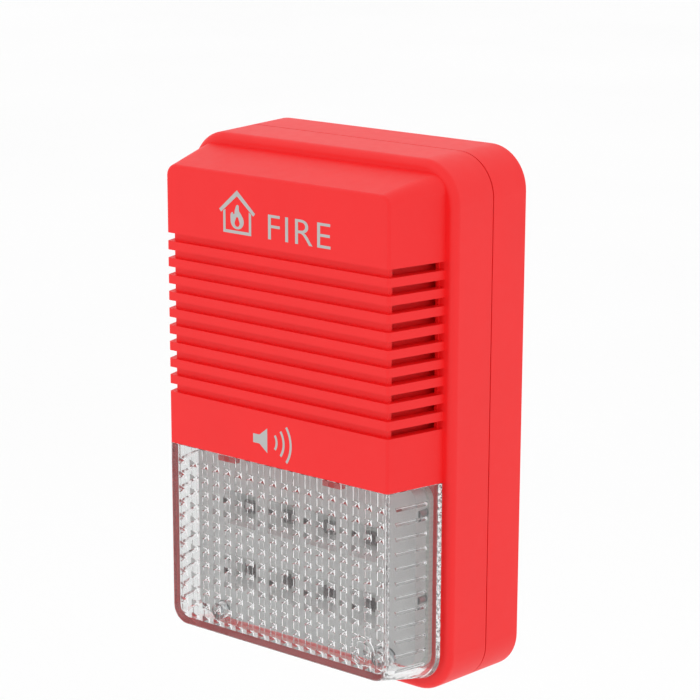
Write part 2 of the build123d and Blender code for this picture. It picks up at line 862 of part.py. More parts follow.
def make_mounting_base():
    """Red rear shell with a floor, wall slots, cable entry and the lip that centres the head."""
    base = body_solid(0, seam_depth)
    base -= body_solid(base_floor, seam_depth + 1, wall)
    lip = body_solid(seam_depth - 2, seam_depth + lip_height, wall - 0.01 + fit_gap)
    lip -= body_solid(seam_depth - 3, seam_depth + lip_height + 1, wall + fit_gap + lip_wall)
    step = body_solid(seam_depth - 2, seam_depth, wall - 0.5)
    step -= body_solid(seam_depth - 3, seam_depth + 1, wall + fit_gap + lip_wall)
    base += step + lip
    base += lock_tab()
    notch_top = seam_depth + lock_tab_height + 1
    radius = lock_screw_radius + 0.2
    notch = box_between(-radius, radius, lock_screw_depth, notch_top, -body_height / 2, -body_height / 2 + 12)
    notch += Pos(0, -lock_screw_depth, -body_height / 2 + 6) * Cylinder(radius, 12)
    base -= notch
    base -= extrude(at_depth(-1) * RectangleRounded(cable_width, cable_height, cable_corner), amount=base_floor + 2)
    for side in (-1, 1):
        slot = at_depth(-1, side * box_screw_spacing / 2) * SlotOverall(box_slot_length, box_slot_width)
        base -= extrude(slot, amount=base_floor + 2)
    return base


def cell_limits(x):
    """Left and right limits of one terminal cell."""
    return x - terminal_cell / 2, x + terminal_cell / 2


def make_terminal_block():
    """Terminal housing with a cell, a screw well and a wire mouth for each conductor."""
    half = terminal_pitch * terminal_count / 2 + 1.0
    low = terminal_z - terminal_height / 2
    high = terminal_z + terminal_height / 2
    top = base_floor + terminal_depth
    block = box_between(-half, half, base_floor, top, low, high)
    for x in terminal_places():
        left, right = cell_limits(x)
        block -= box_between(left, right, base_floor - 1, top - terminal_roof, low + 1.6, high + 1)
        block -= box_between(
            x - strip_width / 2 - 0.1, x + strip_width / 2 + 0.1, base_floor - 1, base_floor + strip_thickness + 0.1,
            low - 1, low + 3,
        )
        block -= rod(terminal_head_radius + 0.3, x, terminal_z, top - terminal_roof - 1, top + 1)
    return block


def make_contact_springs():
    """Brass strips from each terminal, ending in a two-leaf clip for the head's blade."""
    strips = []
    reach = terminal_z + terminal_height / 2 - 2.0
    low = spring_z - spring_length / 2
    for x in terminal_places():
        strip = box_between(
            x - strip_width / 2, x + strip_width / 2, base_floor, base_floor + strip_thickness, low, reach,
        )
        opening = blade_thickness / 2 + blade_gap
        for side in (-1, 1):
            x0, x1 = sorted((x + side * opening, x + side * (opening + spring_leaf)))
            strip += box_between(x0, x1, base_floor, base_floor + spring_height, low, low + spring_length)
        strip -= rod(terminal_screw_radius, x, terminal_z, base_floor - 1, base_floor + 3)
        strips.append(strip)
    return group(strips)


def make_clamp_plates():
    """Square plates that the terminal screws press on the wires."""
    plates = []
    side = terminal_cell / 2 - 0.3
    start = base_floor + strip_thickness + clamp_lift
    for x in terminal_places():
        plate = box_between(x - side, x + side, start, start + clamp_thickness, terminal_z - side, terminal_z + side)
        plates.append(plate - rod(terminal_screw_radius + 0.1, x, terminal_z, start - 1, start + 3))
    return group(plates)


def make_terminal_screws():
    """Terminal screws threaded into the brass strips."""
    seat = base_floor + strip_thickness + clamp_lift + clamp_thickness
    screws = []
    for x in terminal_places():
        length = seat - base_floor - 0.2
        screws.append(make_screw(x, terminal_z, seat, length, False, terminal_screw_radius, terminal_head_radius))
    return group(screws)


def make_locking_screw():
    """Grub screw through the head's lower wall into the tab's notch."""
    bottom = -body_height / 2 + body_draft * lock_screw_depth + 0.3
    top = bottom + wall + fit_gap + lip_wall + 0.6
    screw = Pos(0, -lock_screw_depth, (bottom + top) / 2) * Cylinder(lock_screw_radius, top - bottom)
    slot = Pos(0, -lock_screw_depth, bottom) * Box(2 * lock_screw_radius, 0.5, 1.4)
    return screw - slot


def build_nodes():
    """Every node of the object by name."""
    nodes = {
        "mounting_base": make_mounting_base(),
        "terminal_block": make_terminal_block(),
        "contact_springs": make_contact_springs(),
        "clamp_plates": make_clamp_plates(),
        "terminal_screws": make_terminal_screws(),
        "front_cover": make_front_cover(),
        "strobe_lens": make_strobe_lens(),
        "reflector": make_reflector(),
        "lamp_board": make_lamp_board(),
        "strobe_leds": make_strobe_leds(),
        "lamp_board_screws": make_lamp_board_screws(),
        "lens_screws": make_lens_screws(),
        "sound_chamber": make_sound_chamber(),
        "chamber_screws": make_chamber_screws(),
        "piezo_disc": make_piezo_disc(),
        "piezo_ceramic": make_piezo_ceramic(),
        "piezo_ring": make_piezo_ring(),
        "piezo_lead_red": make_lead(-1),
        "piezo_lead_black": make_lead(1),
        "main_board": make_main_board(),
        "board_screws": make_board_screws(),
        "controller_chip": make_controller_chip(),
        "chip_resistors": make_chip_resistors(),
        "chip_capacitors": make_chip_capacitors(),
        "power_transistors": make_power_transistors(),
        "supply_diodes": make_diodes(),
        "electrolytic_capacitors": make_electrolytic_capacitors(),
        "inductor_core": make_inductor_core(),
        "inductor_coil": make_inductor_coil(),
        "lamp_header": make_lamp_header(),
        "lamp_header_pins": make_lamp_header_pins(),
        "tone_switch_body": make_tone_switch_body(),
        "contact_blades": make_contact_blades(),
        "back_plate": make_back_plate(),
        "back_plate_screws": make_back_plate_screws(),
        "locking_screw": make_locking_screw(),
    }
    for index, x in enumerate(lever_places(), start=1):
        nodes[f"tone_lever_{index}"] = make_tone_lever(x)
    return nodes


def main():
    """Write one STEP file per node."""
    os.makedirs("parts", exist_ok=True)
    for name, shape in build_nodes().items():
        export_step(shape, f"parts/{name}.step")


main()
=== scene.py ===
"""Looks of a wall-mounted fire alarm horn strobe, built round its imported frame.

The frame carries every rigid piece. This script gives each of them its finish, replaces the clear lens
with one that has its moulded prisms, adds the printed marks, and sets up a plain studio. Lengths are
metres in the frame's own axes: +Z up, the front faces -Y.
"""
import json
import logging
import math
from dataclasses import dataclass
from enum import Enum
from typing import Any

import bmesh
import bpy
from mathutils import Matrix, Vector


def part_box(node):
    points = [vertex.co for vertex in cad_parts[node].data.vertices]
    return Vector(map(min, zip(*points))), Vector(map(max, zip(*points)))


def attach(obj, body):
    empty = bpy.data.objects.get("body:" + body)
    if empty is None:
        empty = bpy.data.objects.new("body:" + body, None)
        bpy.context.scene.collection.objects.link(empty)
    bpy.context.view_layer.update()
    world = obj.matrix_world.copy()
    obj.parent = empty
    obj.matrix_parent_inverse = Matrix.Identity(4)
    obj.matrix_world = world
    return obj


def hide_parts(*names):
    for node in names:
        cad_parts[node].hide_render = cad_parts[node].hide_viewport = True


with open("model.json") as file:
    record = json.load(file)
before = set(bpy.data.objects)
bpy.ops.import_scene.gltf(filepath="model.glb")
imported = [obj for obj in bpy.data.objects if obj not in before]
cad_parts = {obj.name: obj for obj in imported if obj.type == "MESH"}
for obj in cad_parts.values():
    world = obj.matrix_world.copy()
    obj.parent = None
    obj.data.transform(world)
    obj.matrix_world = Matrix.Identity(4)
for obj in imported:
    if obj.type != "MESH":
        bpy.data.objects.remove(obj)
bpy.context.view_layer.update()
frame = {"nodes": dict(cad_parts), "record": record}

MM = 0.001
log = logging.getLogger("horn_strobe")


# ------------------------------------------------------------------ small helpers
def linear(code: str, alpha: float = 1.0) -> tuple[float, float, float, float]:
    """Turn an sRGB hex colour into linear values.

    Args:
        code: colour such as "#C81E1E".
        alpha: opacity kept as it is.

    Returns:
        Linear red, green, blue and alpha.
    """
    channels = [int(code[i:i + 2], 16) / 255 for i in (1, 3, 5)]
    values = [c / 12.92 if c <= 0.04045 else ((c + 0.055) / 1.055) ** 2.4 for c in channels]
    return values[0], values[1], values[2], alpha


def add_node(
    tree: bpy.types.NodeTree,
    kind: str,
    settings: dict[str, Any] | None = None,
    values: dict[str, Any] | None = None,
    links: dict[str, bpy.types.NodeSocket] | None = None,
) -> bpy.types.Node:
    """Add a node with its settings, socket values and incoming links.

    Args:
        tree: node tree that takes the node.
        kind: node type, such as "ShaderNodeTexNoise".
        settings: attributes of the node.
        values: constants by input socket name or identifier.
        links: source sockets by input socket name or identifier.

    Returns:
        The new node.
    """
    node = tree.nodes.new(kind)
    for key, value in (settings or {}).items():
        setattr(node, key, value)
    for key, value in (values or {}).items():
        find_socket(node.inputs, key).default_value = value
    for key, source in (links or {}).items():
        tree.links.new(source, find_socket(node.inputs, key))
    return node


def find_socket(sockets: Any, key: str) -> bpy.types.NodeSocket:
    """Find a socket by identifier, or else by name."""
    for socket in sockets:
        if socket.identifier == key:
            return socket
    return sockets[key]


def finish_mesh(
    bm: bmesh.types.BMesh,
    name: str,
    body: str,
    material: bpy.types.Material,
    smooth_angle: float = 30.0,
) -> bpy.types.Object:
    """Turn a bmesh into a dressed piece that rides on a body.

    Args:
        bm: finished shape, freed here.
        name: name of the piece.
        body: body that it moves with.
        material: finish of the piece.
        smooth_angle: edges sharper than this many degrees stay crisp.

    Returns:
        The piece.
    """
    bmesh.ops.recalc_face_normals(bm, faces=bm.faces)
    mesh = bpy.data.meshes.new(name)
    bm.to_mesh(mesh)
    bm.free()
    piece = bpy.data.objects.new(name, mesh)
    bpy.context.scene.collection.objects.link(piece)
    soften(mesh, smooth_angle)
    mesh.materials.append(material)
    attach(piece, body)
    log.info("piece %s: %d faces on %s", name, len(mesh.polygons), body)
    return piece


def soften(mesh: bpy.types.Mesh, smooth_angle: float) -> None:
    """Shade a mesh smooth and keep the edges above an angle crisp."""
    mesh.shade_smooth()
    mesh.set_sharp_from_angle(angle=math.radians(smooth_angle))


# ------------------------------------------------------------------ finishes
class Making(Enum):
    """How a surface was made, which sets the pattern of its finish."""

    MOULDED = "moulded"
    ROLLED = "rolled"
    CLEAR = "clear"
    LAMINATE = "laminate"
    WOUND = "wound"
    PAINTED = "painted"


@dataclass(frozen=True)
class Finish:
    """One material, named for what the real one is.

    Args:
        name: material name.
        making: how its surface was made.
        colour: main sRGB colour.
        shade: second sRGB colour that the main one drifts towards.
        roughness: middle roughness.
        roughness_spread: how far the roughness wanders.
        metallic: 1 for metals.
        ior: index of refraction, left at 1.5 for metals.
        grain: size of the fine texture in mm.
        grain_height: height of the fine texture in mm.
        drift: size of the slow colour variation in mm.
        coat: share of clear coat.
        subsurface: share of light that spreads below the surface.
    """

    name: str
    making: Making
    colour: str
    shade: str
    roughness: float = 0.5
    roughness_spread: float = 0.06
    metallic: float = 0.0
    ior: float = 1.5
    grain: float = 0.5
    grain_height: float = 0.01
    drift: float = 18.0
    coat: float = 0.0
    subsurface: float = 0.0

    def make(self) -> bpy.types.Material:
        """Build the node material.

        Returns:
            The finished material.
        """
        material = bpy.data.materials.new(self.name)
        material.use_nodes = True
        tree = material.node_tree
        tree.nodes.clear()
        place = add_node(tree, "ShaderNodeTexCoord").outputs["Object"]
        shader = add_node(tree, "ShaderNodeBsdfPrincipled", values={
            "Metallic": self.metallic, "IOR": self.ior, "Coat Weight": self.coat, "Coat Roughness": 0.12,
            "Subsurface Weight": self.subsurface, "Subsurface Scale": 0.0015,
        })
        links = tree.links
        links.new(self.colour_pattern(tree, place), shader.inputs["Base Color"])
        links.new(self.roughness_pattern(tree, place), shader.inputs["Roughness"])
        links.new(self.relief(tree, place), shader.inputs["Normal"])
        if self.making is Making.CLEAR:
            shader.inputs["Transmission Weight"].default_value = 1.0
        add_node(tree, "ShaderNodeOutputMaterial", links={"Surface": shader.outputs["BSDF"]})
        return material

    def stretched(self, tree: bpy.types.NodeTree, place: bpy.types.NodeSocket) -> bpy.types.NodeSocket:
        """Coordinates of the fine texture: drawn out along X for rolled metal."""
        stretch = (0.06, 1.0, 1.0) if self.making is Making.ROLLED else (1.0, 1.0, 1.0)
        mapping = add_node(tree, "ShaderNodeMapping", values={"Scale": stretch}, links={"Vector": place})
        return mapping.outputs["Vector"]

    def colour_pattern(self, tree: bpy.types.NodeTree, place: bpy.types.NodeSocket) -> bpy.types.NodeSocket:
        """Colour that drifts slowly between the two tones, with copper tracks on a laminate."""
        cloud = add_node(
            tree, "ShaderNodeTexNoise", values={"Scale": 1 / (self.drift * MM), "Detail": 3.0},
            links={"Vector": place},
        )
        mix = add_node(
            tree, "ShaderNodeMix", {"data_type": "RGBA"},
            {"A_Color": linear(self.colour), "B_Color": linear(self.shade)},
            {"Factor_Float": cloud.outputs["Fac"]},
        )
        colour = find_socket(mix.outputs, "Result_Color")
        if self.making is Making.LAMINATE:
            return self.track_colour(tree, place, colour)
        if self.making is Making.WOUND:
            return self.wire_colour_with_gap_shade(tree, place, colour)
        return colour

    def tracks(self, tree: bpy.types.NodeTree, place: bpy.types.NodeSocket) -> bpy.types.NodeSocket:
        """Mask of copper tracks under the resist: bent lanes about 1.3 mm apart."""
        flat = add_node(
            tree, "ShaderNodeMapping", values={"Rotation": (math.radians(90), 0, 0)}, links={"Vector": place},
        )
        lanes = add_node(
            tree, "ShaderNodeTexBrick", {"offset": 0.35, "offset_frequency": 3, "squash": 0.6},
            {"Scale": 1 / (2.6 * MM), "Mortar Size": 0.16, "Mortar Smooth": 0.1, "Brick Width": 3.4,
             "Row Height": 0.5, "Color1": (0, 0, 0, 1), "Color2": (0, 0, 0, 1), "Mortar": (1, 1, 1, 1)},
            {"Vector": flat.outputs["Vector"]},
        )
        return lanes.outputs["Fac"]

    def track_colour(
        self, tree: bpy.types.NodeTree, place: bpy.types.NodeSocket, colour: bpy.types.NodeSocket,
    ) -> bpy.types.NodeSocket:
        """Resist over copper is a lighter tone than resist over bare laminate."""
        light = add_node(
            tree, "ShaderNodeMix", {"data_type": "RGBA"}, {"B_Color": linear(self.shade)},
            {"Factor_Float": self.tracks(tree, place), "A_Color": colour},
        )
        return find_socket(light.outputs, "Result_Color")

    def wire_colour_with_gap_shade(
        self, tree: bpy.types.NodeTree, place: bpy.types.NodeSocket, colour: bpy.types.NodeSocket,
    ) -> bpy.types.NodeSocket:
        """Turns of wire with painted shade, a dark brown, in the gaps between them."""
        # painted shade: a dark brown mixed into the gaps between the turns of wire
        dark = add_node(
            tree, "ShaderNodeMix", {"data_type": "RGBA"}, {"A_Color": linear("#3A140A")},
            {"Factor_Float": self.turns(tree, place), "B_Color": colour},
        )
        return find_socket(dark.outputs, "Result_Color")

    def turns(self, tree: bpy.types.NodeTree, place: bpy.types.NodeSocket) -> bpy.types.NodeSocket:
        """Bands across the depth, one per turn of wire."""
        bands = add_node(
            tree, "ShaderNodeTexWave", {"wave_type": "BANDS", "bands_direction": "Y", "wave_profile": "SIN"},
            {"Scale": 2 * math.pi / 20 / (self.grain * MM), "Distortion": 0.4}, {"Vector": place},
        )
        return bands.outputs["Fac"]

    def roughness_pattern(
        self, tree: bpy.types.NodeTree, place: bpy.types.NodeSocket,
    ) -> bpy.types.NodeSocket:
        """Roughness that wanders a little, at a few times the grain's size."""
        cloud = add_node(
            tree, "ShaderNodeTexNoise", values={"Scale": 1 / (self.grain * 6 * MM), "Detail": 2.0},
            links={"Vector": self.stretched(tree, place)},
        )
        low = max(self.roughness - self.roughness_spread, 0.0)
        high = self.roughness + self.roughness_spread
        reach = add_node(
            tree, "ShaderNodeMapRange", values={"To Min": low, "To Max": high},
            links={"Value": cloud.outputs["Fac"]},
        )
        return reach.outputs["Result"]

    def relief(self, tree: bpy.types.NodeTree, place: bpy.types.NodeSocket) -> bpy.types.NodeSocket:
        """Fine relief of the surface, from its grain, its turns of wire or its tracks."""
        if self.making is Making.WOUND:
            height = self.turns(tree, place)
        elif self.making is Making.LAMINATE:
            height = self.tracks(tree, place)
        else:
            noise = add_node(
                tree, "ShaderNodeTexNoise", values={"Scale": 1 / (self.grain * MM), "Detail": 4.0},
                links={"Vector": self.stretched(tree, place)},
            )
            height = noise.outputs["Fac"]
        bump = add_node(
            tree, "ShaderNodeBump", values={"Strength": 1.0, "Distance": self.grain_height * MM},
            links={"Height": height},
        )
        return bump.outputs["Normal"]


FINISHES: dict[str, Finish] = {
    # satin ABS off a spark-eroded tool: deep red with a soft, even sheen
    "red_abs": Finish("ABS satin red", Making.MOULDED, "#F71014", "#F00C10", 0.5, 0.05, grain=0.45,
                      grain_height=0.006),
    # clear polycarbonate from a polished tool: bright edges, hardly any haze
    "clear_polycarbonate": Finish("polycarbonate clear", Making.CLEAR, "#F6F7F7", "#F1F2F2", 0.015, 0.01,
                                  ior=1.585, grain=6.0, grain_height=0.004),
    # light grey styrene tray: diffuse with a faint gloss
    "grey_reflector": Finish("polystyrene reflector grey", Making.MOULDED, "#F1EFEE", "#E7E5E4", 0.35, 0.05,
                             grain=0.8, grain_height=0.004),
    # white resist on laminate: lanes of copper show as a slightly lighter tone
    "lamp_board_resist": Finish("laminate with white resist", Making.LAMINATE, "#D2D2CC", "#E4E4DE", 0.38,
                                grain_height=0.03),
    # dark red epoxy lamp body: glossy, almost black where it is thick
    "lamp_red": Finish("epoxy lamp dark red", Making.MOULDED, "#4A0710", "#2E040A", 0.18, 0.04, ior=1.55,
                       coat=0.4, grain=1.2, grain_height=0.003),
    # zinc-plated steel: bluish grey with fine drawing lines
    "zinc_plate": Finish("steel zinc plated", Making.ROLLED, "#B9BDC0", "#9EA3A8", 0.3, 0.08, metallic=1.0,
                         grain=0.12, grain_height=0.003, drift=3.0),
    # black ABS off a fine-textured tool
    "black_abs": Finish("ABS black", Making.MOULDED, "#17181A", "#101113", 0.46, 0.06, grain=0.4,
                        grain_height=0.008),
    # rolled brass: warm yellow with drawn-out lines and light tarnish
    "brass": Finish("brass rolled", Making.ROLLED, "#D2A95A", "#B88B40", 0.28, 0.08, metallic=1.0,
                    grain=0.12, grain_height=0.003, drift=6.0),
    # silvered ceramic: pale, matt metal print on a fired disc
    "silvered_ceramic": Finish("ceramic silvered", Making.MOULDED, "#D5D2C8", "#C3C0B5", 0.42, 0.08,
                               metallic=0.6, grain=0.2, grain_height=0.004, drift=4.0),
    # moulded rubber: dull black with a fine bloom
    "black_rubber": Finish("rubber moulded", Making.MOULDED, "#1B1B1C", "#242425", 0.78, 0.06, grain=0.3,
                           grain_height=0.012),
    # soft PVC insulation, red and black
    "red_pvc": Finish("PVC insulation red", Making.MOULDED, "#B01A1C", "#9C1214", 0.4, grain=0.3,
                      grain_height=0.004),
    "black_pvc": Finish("PVC insulation black", Making.MOULDED, "#141416", "#1E1E20", 0.4, grain=0.3,
                        grain_height=0.004),
    # glass laminate with green resist: lighter over the copper tracks
    "green_board": Finish("laminate with green resist", Making.LAMINATE, "#0E4A26", "#1C6B38", 0.3,
                          grain_height=0.03),
    # moulded epoxy package: near black, dry
    "chip_epoxy": Finish("epoxy package", Making.MOULDED, "#1A1B1D", "#26272A", 0.6, grain=0.15,
                         grain_height=0.006, drift=2.0),
    # fired ceramic chip: brown-grey
    "chip_ceramic": Finish("ceramic chip", Making.MOULDED, "#A6825C", "#8F6E4C", 0.45, grain=0.15,
                           grain_height=0.004, drift=1.5),
    # shrunk sleeve of the can capacitors: glossy dark blue
    "can_sleeve": Finish("PET sleeve dark blue", Making.MOULDED, "#141B3C", "#1B2450", 0.22, grain=1.5,
                         grain_height=0.004, coat=0.3, drift=5.0),
    # pressed and fired ferrite: charcoal with a powdery grain
    "ferrite": Finish("ferrite", Making.MOULDED, "#3A3A3C", "#2B2B2D", 0.55, grain=0.2, grain_height=0.012,
                      drift=2.0),
    # enamelled copper wire, 0.4 mm
    "copper_wire": Finish("copper wire enamelled", Making.WOUND, "#C0673A", "#A8532B", 0.25, metallic=1.0,
                          grain=0.4, grain_height=0.12, drift=2.0),
    # grey polyamide terminal housing
    "grey_polyamide": Finish("polyamide grey", Making.MOULDED, "#8D9293", "#7F8485", 0.5, grain=0.4,
                             grain_height=0.008),
    # blue switch housing and white levers
    "switch_blue": Finish("PBT blue", Making.MOULDED, "#1B4FA0", "#164489", 0.4, grain=0.4,
                          grain_height=0.005),
    "white_acetal": Finish("acetal white", Making.MOULDED, "#E9E9E4", "#DEDED8", 0.35, grain=0.3,
                           grain_height=0.003, subsurface=0.1),
    # light grey pad-printing ink: flat and slightly uneven
    "print_ink": Finish("ink light grey", Making.PAINTED, "#BDBDBB", "#B2B2B0", 0.55, grain=0.25,
                        grain_height=0.004, drift=2.0),
}


class Palette:
    """Makes each finish once and dresses the frame's nodes with it."""

    def __init__(self) -> None:
        """Build all materials."""
        self.materials = {slot: finish.make() for slot, finish in FINISHES.items()}

    def dress_frame(self) -> None:
        """Give every node of the frame the finish of its slot."""
        for row in frame["record"]["subparts"]:
            piece = frame["nodes"][row["node"]]
            piece.data.materials.clear()
            piece.data.materials.append(self.materials[row["material_slot"]])
            log.info("node %s wears %s", row["node"], row["material_slot"])

    def __getitem__(self, slot: str) -> bpy.types.Material:
        """Material of a slot."""
        return self.materials[slot]


# ------------------------------------------------------------------ lens
@dataclass
class PrismLens:
    """Clear lens with flutes and prisms on its inner front and ribs on its inner sides."""

    palette: Palette
    pitch_x: float = 4.0 * MM
    pitch_z: float = 3.9 * MM
    columns: int = 18
    rows: int = 12
    first_row: float = -17.0 * MM
    prism_width: float = 3.3 * MM
    prism_tall: float = 2.2 * MM
    prism_rise: float = 1.3 * MM
    prism_tip: float = 0.2 * MM
    flute_width: float = 2.0 * MM
    flute_crest: float = 1.5 * MM
    flute_rise: float = 0.3 * MM
    rib_width: float = 1.3 * MM
    rib_tip: float = 0.1 * MM
    rib_rise: float = 1.2 * MM
    wall: float = 2.2 * MM
    front_half: float = 37.2 * MM
    sink: float = 0.3 * MM
    seat_gap: float = 0.06 * MM
    crisp_angle: float = 22.0
    flat_area: float = 4e-6
    mark_place: tuple[float, float] = (29.3 * MM, -55.2 * MM)
    mark_radii: tuple[float, ...] = (3.9 * MM, 2.4 * MM)

    def build(self) -> bpy.types.Object:
        """Fuse the flutes, prisms, ribs and moulded mark with the plain lens.

        Returns:
            The finished lens, which stands for the frame's plain one.
        """
        shell = self.plain_shell()
        for maker in (self.flutes, self.prisms, self.side_ribs, self.moulded_mark):
            shell = self.fuse(shell, maker())
        bm = bmesh.new()
        bm.from_mesh(shell.data)
        bpy.data.objects.remove(shell)
        bmesh.ops.remove_doubles(bm, verts=bm.verts, dist=1e-6)
        slot = "clear_polycarbonate"
        lens = finish_mesh(bm, "prism_lens", "head", self.palette[slot], self.crisp_angle)
        for face in lens.data.polygons:
            face.use_smooth = face.area < self.flat_area
        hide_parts("strobe_lens")
        return lens

    def plain_shell(self) -> bpy.types.Object:
        """Merged copy of the frame's lens, its rear rim a hair off the cover to let light in."""
        bm = bmesh.new()
        bm.from_mesh(frame["nodes"]["strobe_lens"].data)
        bmesh.ops.remove_doubles(bm, verts=bm.verts, dist=1e-6)
        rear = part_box("strobe_lens")[1].y
        rim = [vert for vert in bm.verts if vert.co.y > rear - 0.01 * MM]
        bmesh.ops.translate(bm, verts=rim, vec=(0, -self.seat_gap, 0))
        return self.loose(bm, "lens_shell")

    def loose(self, bm: bmesh.types.BMesh, name: str) -> bpy.types.Object:
        """Put a closed bmesh in the scene as a helper object."""
        bmesh.ops.recalc_face_normals(bm, faces=bm.faces)
        mesh = bpy.data.meshes.new(name)
        bm.to_mesh(mesh)
        bm.free()
        helper = bpy.data.objects.new(name, mesh)
        bpy.context.scene.collection.objects.link(helper)
        return helper

    def fuse(self, shell: bpy.types.Object, extra: bpy.types.Object) -> bpy.types.Object:
        """Join two closed helpers into one closed mesh.

        Args:
            shell: helper that takes the other one.
            extra: helper that is joined and removed.

        Returns:
            The joined helper.
        """
        joint = shell.modifiers.new("join", "BOOLEAN")
        joint.operation = "UNION"
        joint.solver = "EXACT"
        joint.object = extra
        graph = bpy.context.evaluated_depsgraph_get()
        mesh = bpy.data.meshes.new_from_object(shell.evaluated_get(graph))
        shell.modifiers.clear()
        shell.data = mesh
        bpy.data.objects.remove(extra)
        return shell

    def column_places(self) -> list[float]:
        """X of each column of prisms."""
        start = -self.pitch_x * (self.columns - 1) / 2
        return [start + self.pitch_x * column for column in range(self.columns)]

    def row_places(self) -> list[float]:
        """Z of each row of prisms."""
        return [self.first_row - self.pitch_z * row for row in range(self.rows)]

    def inner_face(self) -> float:
        """Y of the inner face of the front wall."""
        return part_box("strobe_lens")[0].y + self.wall

    def add_wedge(
        self,
        bm: bmesh.types.BMesh,
        matrix: Matrix,
        base: tuple[float, float],
        tip: tuple[float, float],
        rise: float,
    ) -> None:
        """Add a block that narrows from a sunk base to its tip.

        Args:
            bm: bmesh that takes the block.
            matrix: place of the base's centre; the block rises along its Z axis.
            base: width and length at the surface.
            tip: width and length at the top.
            rise: height above the surface.
        """
        tall = rise + self.sink
        made = bmesh.ops.create_cube(bm, size=1.0)
        top = [vert for vert in made["verts"] if vert.co.z > 0]
        bmesh.ops.scale(bm, verts=top, vec=(tip[0] / base[0], tip[1] / base[1], 1.0))
        bmesh.ops.scale(bm, verts=made["verts"], vec=(base[0], base[1], tall))
        bmesh.ops.translate(bm, verts=made["verts"], vec=(0, 0, tall / 2 - self.sink))
        bmesh.ops.transform(bm, matrix=matrix, verts=made["verts"])

    def flutes(self) -> bpy.types.Object:
        """Low upright flutes under the columns of prisms."""
        low = self.row_places()[-1] - self.pitch_z / 4
        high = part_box("strobe_lens")[1].z - self.seat_gap
        turned = Matrix.Rotation(math.radians(-90), 4, "X")
        bm = bmesh.new()
        for x in self.column_places():
            place = Matrix.Translation((x, self.inner_face(), (low + high) / 2)) @ turned
            foot = (self.flute_width, high - low)
            crest = (self.flute_crest, high - low)
            self.add_wedge(bm, place, foot, crest, self.flute_rise)
        return self.loose(bm, "flutes")

    def prisms(self) -> bpy.types.Object:
        """Four-sided prisms that stand on the inner face of the front wall."""
        turned = Matrix.Rotation(math.radians(-90), 4, "X")
        bm = bmesh.new()
        for z in self.row_places():
            for x in self.column_places():
                place = Matrix.Translation((x, self.inner_face(), z)) @ turned
                tip = (self.prism_tip, self.prism_tip)
                self.add_wedge(bm, place, (self.prism_width, self.prism_tall), tip, self.prism_rise)
        return self.loose(bm, "prisms")

    def side_reach(self, depth: float) -> float:
        """Half width of the lens's inner side walls at a depth."""
        low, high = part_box("strobe_lens")
        share = (depth + high.y) / (high.y - low.y)
        return high.x + (self.front_half - high.x) * share - self.wall

    def side_ribs(self) -> bpy.types.Object:
        """Ribs along the depth on both inner side walls, one per row of prisms."""
        low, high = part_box("strobe_lens")
        rear = -high.y + 3.0 * MM
        front = -low.y - self.wall - self.prism_rise - 0.4 * MM
        lean = (self.side_reach(rear) - self.side_reach(front)) / (front - rear)
        bm = bmesh.new()
        for side in (-1, 1):
            lying = Matrix.Rotation(-side * math.radians(90), 4, "Y")
            tilt = Matrix.Rotation(-side * math.atan(lean), 4, "Z") @ lying
            for z in self.row_places():
                middle = (rear + front) / 2
                place = Matrix.Translation((side * self.side_reach(middle), -middle, z)) @ tilt
                length = front - rear
                base = (self.rib_width, length)
                self.add_wedge(bm, place, base, (self.rib_tip, length - self.rib_rise), self.rib_rise)
        return self.loose(bm, "side_ribs")

    def moulded_mark(self) -> bpy.types.Object:
        """Two plain rings moulded on the lens's front near its lower corner."""
        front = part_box("strobe_lens")[0].y
        x, z = self.mark_place
        bm = bmesh.new()
        for radius in self.mark_radii:
            section = [
                bm.verts.new((x + radius + dx * MM, front + dy * MM, z))
                for dx, dy in ((-0.38, 0.2), (0.38, 0.2), (0.15, -0.28), (-0.15, -0.28))
            ]
            edges = [bm.edges.new((section[i], section[(i + 1) % 4])) for i in range(4)]
            bmesh.ops.spin(
                bm, geom=section + edges, cent=(x, front, z), axis=(0, 1, 0), angle=2 * math.pi, steps=48,
                use_merge=True,
            )
        bmesh.ops.remove_doubles(bm, verts=bm.verts, dist=1e-6)
        return self.loose(bm, "moulded_mark")


